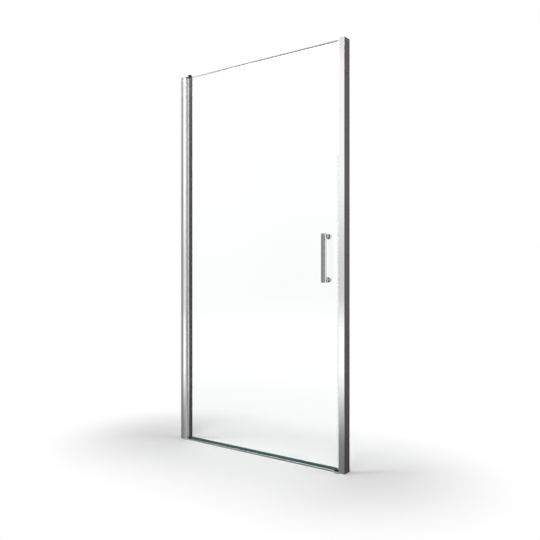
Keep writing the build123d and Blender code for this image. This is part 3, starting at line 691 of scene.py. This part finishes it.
def moulding(dark, pale, rough, spark):
    """Plastic that is dark, and pale where it has worn, with a spark texture of a given depth."""
    def write(recipe):
        texture = recipe.grain(3200.0, 2.0)
        wear = recipe.grain(140.0, 3.0)
        return recipe.surface(
            Base_Color=recipe.blend(recipe.ease(wear, 0.5, 0.8), dark, pale), Roughness=rough + texture * 0.14,
            Normal=recipe.bump(texture, spark, 0.6), Specular_IOR_Level=0.25)
    return write


def end_moulding(recipe):
    """A black top, painted dark reflection, that turns into a pale grey-green rim, painted bright reflection, as the
    surface turns away from upwards.
    """
    texture = recipe.grain(TURNED_PER_METRE, 2.0)
    top = recipe.ease(recipe.facing()[2], *REFLECTION_FACING)
    # The black top and the pale rim are painted reflections.
    return recipe.surface(
        Base_Color=recipe.blend(top, (0.56, 0.60, 0.55, 1.0), grey(0.012)), Metallic=(1 - top) * 0.60,
        Roughness=0.12 + texture * 0.08, Normal=recipe.bump(texture, FINE_DEPTH, 0.4))


black_plastic = finish("black_plastic", moulding(grey(0.012), grey(0.028), 0.26, 0.00002))
magnet = finish("magnet", moulding((0.10, 0.092, 0.085, 1.0), (0.15, 0.14, 0.13, 1.0), 0.5, 0.00004))
end_block_plastic = finish("end_block_plastic", end_moulding)

# %% [markdown]
# ## Dress the solid pieces
# Each solid keeps its shape. Its triangles come apart at every edge, so a small modifier joins them, shades curved
# skins smoothly and keeps real corners sharp, and on the profiles and the bracket a fine bevel gives the corners an
# edge that catches the light.

# %% Finishes of the solid pieces
FINISHES = {
    polished_profile: ["strike_wall_channel", "strike_jamb", "strike_channel_cap"],
    jamb_profile: ["hinge_jamb"],
    satin_bracket: ["top_pivot_bracket"],
    hinge_cap_finish: ["hinge_channel_cap"],
    satin_profile: ["hinge_wall_channel"],
    stile_profile: ["hinge_stile"],
    sill_profile: ["sill"],
    chrome: ["bottom_pivot_foot", "hinge_screw_covers", "strike_screw_covers", "handle_cup_covers"],
    brushed_posts: ["upper_handle_post", "lower_handle_post", "upper_handle_cup", "lower_handle_cup"],
    satin_handle: ["handle_bar"],
    stainless_steel: ["bottom_pivot_pin", "top_pivot_pin", "top_pivot_screws", "hinge_jamb_screws",
                      "strike_jamb_screws", "handle_bolts"],
    clear_glass: ["glass_panel"],
    clear_seal: ["strike_magnet_seal", "door_magnet_seal", "handle_hole_sleeves"],
    drip_seal: ["bottom_drip_seal"],
    cove_seal: ["hinge_cove_seal"],
    gasket: ["glazing_gasket"],
    black_plastic: ["bottom_thrust_washer", "top_pivot_cap", "stile_top_bush", "stile_bottom_bush",
                    "handle_front_washers", "handle_back_washers"],
    magnet: ["strike_magnet_strip", "door_magnet_strip"],
    end_block_plastic: ["strike_end_block"],
}
for material, names in FINISHES.items():
    for name in names:
        nodes[name].data.materials.clear()
        nodes[name].data.materials.append(material)
dressed = {name for names in FINISHES.values() for name in names}
print("without a finish:", sorted(set(nodes) - dressed))

# %% A modifier that joins and shades
SMOOTH_BELOW = math.radians(28)
BEVEL_ABOVE = math.radians(50)
JOIN_WITHIN = 2e-6


def joining_group():
    """Joins loose triangles and shades them smoothly, except across edges that turn by more than SMOOTH_BELOW."""
    group = bpy.data.node_groups.new("join_and_shade", "GeometryNodeTree")
    group.interface.new_socket("Geometry", in_out="INPUT", socket_type="NodeSocketGeometry")
    group.interface.new_socket("Geometry", in_out="OUTPUT", socket_type="NodeSocketGeometry")
    add, link = group.nodes.new, group.links.new
    start, end = add("NodeGroupInput"), add("NodeGroupOutput")
    join = add("GeometryNodeMergeByDistance")
    join.inputs["Distance"].default_value = JOIN_WITHIN
    faces, edges = add("GeometryNodeSetShadeSmooth"), add("GeometryNodeSetShadeSmooth")
    edges.domain = "EDGE"
    edges.inputs["Shade Smooth"].default_value = False
    turn, sharp = add("GeometryNodeInputMeshEdgeAngle"), add("FunctionNodeCompare")
    sharp.operation = "GREATER_THAN"
    sharp.inputs[1].default_value = SMOOTH_BELOW
    link(start.outputs[0], join.inputs["Geometry"])
    link(join.outputs[0], faces.inputs["Geometry"])
    link(faces.outputs[0], edges.inputs["Geometry"])
    link(turn.outputs["Unsigned Angle"], sharp.inputs[0])
    link(sharp.outputs[0], edges.inputs["Selection"])
    link(edges.outputs[0], end.inputs[0])
    return group


join_and_shade = joining_group()


def neaten(piece, bevel=0.0):
    """Joins and shades a piece, with a bevel of that many metres on its corners."""
    piece.modifiers.new("join", "NODES").node_group = join_and_shade
    if bevel:
        corners = piece.modifiers.new("bevel", "BEVEL")
        corners.width = bevel
        corners.segments = 1
        corners.limit_method = "ANGLE"
        corners.angle_limit = BEVEL_ABOVE
        corners.use_clamp_overlap = True
        piece.modifiers.new("shade", "NODES").node_group = join_and_shade
    piece.modifiers.new("flat_faces", "WEIGHTED_NORMAL").keep_sharp = True


FINE_BEVEL = 0.00025
BEVELLED = {"hinge_wall_channel", "strike_wall_channel", "hinge_jamb", "strike_jamb", "hinge_stile", "sill",
            "top_pivot_bracket"}
for name, piece in nodes.items():
    neaten(piece, FINE_BEVEL if name in BEVELLED else 0.0)
print(len(BEVELLED), "pieces bevelled")

# %% [markdown]
# ## Soft-edged mouldings
# The screw covers, the covers of the handle's cups, the chromed foot under the pivot, the block at the end of the sill
# and the black hood over the upper pivot all have rounded edges. Each is a stack of rings: an outline is repeated,
# drawn in a little further at every step round a quarter circle. The block's edge is wider at its nose than at its
# back.


# %% Rings into a closed skin
RING_POINTS = 48
EDGE_STEPS = 7


def skin(name, stacks, material):
    """A closed mesh: quads join each ring to the next, and a flat face closes the first and the last.

    stacks is an array of (stack, ring, point, 3), so one mesh can hold several separate skins."""
    stacks = np.asarray(stacks, float)
    count, rings, points, _ = stacks.shape
    ring, point = np.meshgrid(np.arange(rings - 1), np.arange(points), indexing="ij")
    after = (point + 1) % points
    quads = np.stack([ring * points + point, ring * points + after, (ring + 1) * points + after,
                      (ring + 1) * points + point], axis=-1).reshape(-1, 4)
    first = np.arange(points)[::-1]
    last = np.arange(points) + (rings - 1) * points
    faces = []
    for stack in range(count):
        start = stack * rings * points
        faces += (quads + start).tolist() + [(first + start).tolist(), (last + start).tolist()]
    mesh = bpy.data.meshes.new(name)
    mesh.from_pydata(stacks.reshape(-1, 3).tolist(), [], faces)
    piece = bpy.data.objects.new(name, mesh)
    scene.collection.objects.link(piece)
    mesh.materials.append(material)
    neaten(piece)
    return piece


def stand_for(piece, body, node):
    """The piece moves with a body and is shown in place of a node."""
    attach(piece, body)
    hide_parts(node)
    print(piece.name, len(piece.data.polygons), "faces for", node)


# %% Covers with a domed edge
COVER_EDGE = 0.45
SCREW_COVER_DEPTH = 0.0036
CUP_COVER_DEPTH = 0.0030


def dome(middle, radius, depth):
    """Rings of a round cover that faces +Y: its edge is COVER_EDGE * depth, and for t from 0 to a quarter turn the
    radius is radius - edge * (1 - cos t) at depth - edge * (1 - sin t)."""
    turn = np.linspace(0, math.pi / 2, EDGE_STEPS)
    edge = COVER_EDGE * depth
    radii = np.concatenate([[radius], radius - edge * (1 - np.cos(turn))])
    depths = np.concatenate([[0], depth - edge * (1 - np.sin(turn))])
    angle = np.linspace(0, 2 * math.pi, RING_POINTS, endpoint=False)
    x = middle[0] + radii[:, None] * np.cos(angle)
    z = middle[2] - radii[:, None] * np.sin(angle)
    y = np.broadcast_to(middle[1] + depths[:, None], x.shape)
    return np.stack([x, y, z], axis=-1)


def domes(name, node, body, material, count, depth):
    """Domes of a given depth over the evenly spaced round covers of a node."""
    low, high = (np.array(corner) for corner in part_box(node))
    radius = (high[0] - low[0]) / 2
    heights = np.linspace(low[2] + radius, high[2] - radius, count)
    middles = [((low[0] + high[0]) / 2, high[1] - depth, z) for z in heights]
    stand_for(skin(name, [dome(m, radius, depth) for m in middles], material), body, node)


domes("hinge_cover_domes", "hinge_screw_covers", "frame", chrome, 3, SCREW_COVER_DEPTH)
domes("strike_cover_domes", "strike_screw_covers", "frame", chrome, 3, SCREW_COVER_DEPTH)
domes("cup_cover_domes", "handle_cup_covers", "door", chrome, 2, CUP_COVER_DEPTH)


# %% Blocks with a rounded top edge
def drawn_in(outline, distance):
    """An anticlockwise outline moved inwards: each point goes distance along the left of the line past it."""
    way = np.roll(outline, -1, axis=0) - np.roll(outline, 1, axis=0)
    left = np.stack([-way[:, 1], way[:, 0]], axis=-1)
    return outline + distance * left / np.linalg.norm(left, axis=1, keepdims=True)


def block(outline, bottom, top, edge):
    """Rings of a block: for t from 0 to a quarter turn, drawn in by edge * (1 - cos t) at top - edge * (1 - sin t).

    edge is one number, or one for each point of the outline."""
    edge = np.broadcast_to(edge, len(outline))
    rings = [np.column_stack([outline, np.full(len(outline), bottom)])]
    for t in np.linspace(0, math.pi / 2, EDGE_STEPS):
        inner = drawn_in(outline, (edge * (1 - math.cos(t)))[:, None])
        rings.append(np.column_stack([inner, top - edge * (1 - math.sin(t))]))
    return rings


def arc(middle, reach_x, reach_y, start, end, points=25):
    """Points of an ellipse from angle start to angle end, in degrees, anticlockwise."""
    turn = np.radians(np.linspace(start, end, points))
    return np.column_stack([middle[0] + reach_x * np.cos(turn), middle[1] + reach_y * np.sin(turn)])


def run(*corners, points=9):
    """Points along straight runs between corners, without the last corner."""
    share = np.linspace(0, 1, points, endpoint=False)[:, None]
    pairs = zip(np.array(corners[:-1]), np.array(corners[1:]))
    return np.concatenate([start + (end - start) * share for start, end in pairs])


# %% Foot of the pivot
FOOT_STRAIGHT_FRONT = -0.012
FOOT_EDGE = 0.0022
low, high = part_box("bottom_pivot_foot")
middle_x = (low.x + high.x) / 2
nose = arc((middle_x, FOOT_STRAIGHT_FRONT), (high.x - low.x) / 2, FOOT_STRAIGHT_FRONT - low.y, 180, 360)
sides = run((high.x, FOOT_STRAIGHT_FRONT), (high.x, high.y), (low.x, high.y), (low.x, FOOT_STRAIGHT_FRONT))
foot = skin("pivot_foot", [block(np.concatenate([nose[:-1], sides]), low.z, high.z, FOOT_EDGE)], chrome)
stand_for(foot, "frame", "bottom_pivot_foot")

# %% End block of the sill
BLOCK_LENGTH = 0.023
BLOCK_STRAIGHT_FRONT = -0.020
POST_FRONT = -0.0222
BACK_EDGE = 0.0003
NOSE_EDGE = 0.0042
low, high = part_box("strike_end_block")
reach = BLOCK_STRAIGHT_FRONT - low.y
wrap_end = 360 + math.degrees(math.asin((POST_FRONT - BLOCK_STRAIGHT_FRONT) / reach))
wrap = arc(((low.x + high.x) / 2, BLOCK_STRAIGHT_FRONT), (high.x - low.x) / 2, reach, 180, wrap_end)
corner_x = low.x + BLOCK_LENGTH
sides = run(wrap[-1], (corner_x, POST_FRONT), (corner_x, high.y), (low.x, high.y), (low.x, BLOCK_STRAIGHT_FRONT))
outline = np.concatenate([wrap[:-1], sides])
nose_share = np.clip((POST_FRONT - outline[:, 1]) / (POST_FRONT - low.y), 0, 1)
edges = BACK_EDGE + (NOSE_EDGE - BACK_EDGE) * np.sqrt(nose_share)
end_block = skin("sill_end_block", [block(outline, low.z, high.z, edges)], end_block_plastic)
stand_for(end_block, "frame", "strike_end_block")

# %% Hood over the arm of the pivot
HOOD_HEIGHT = 0.0120
HOOD_EDGE = 0.0055
HOOD_GAP = 0.0004
low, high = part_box("top_pivot_cap")
hood_foot = STILE_TOP + HOOD_GAP
round_outline = arc(((low.x + high.x) / 2, (low.y + high.y) / 2), (high.x - low.x) / 2, (high.y - low.y) / 2,
                    0, 360, RING_POINTS + 1)[:-1]
hood = skin("pivot_hood", [block(round_outline, hood_foot, hood_foot + HOOD_HEIGHT, HOOD_EDGE)], black_plastic)
stand_for(hood, "frame", "top_pivot_cap")
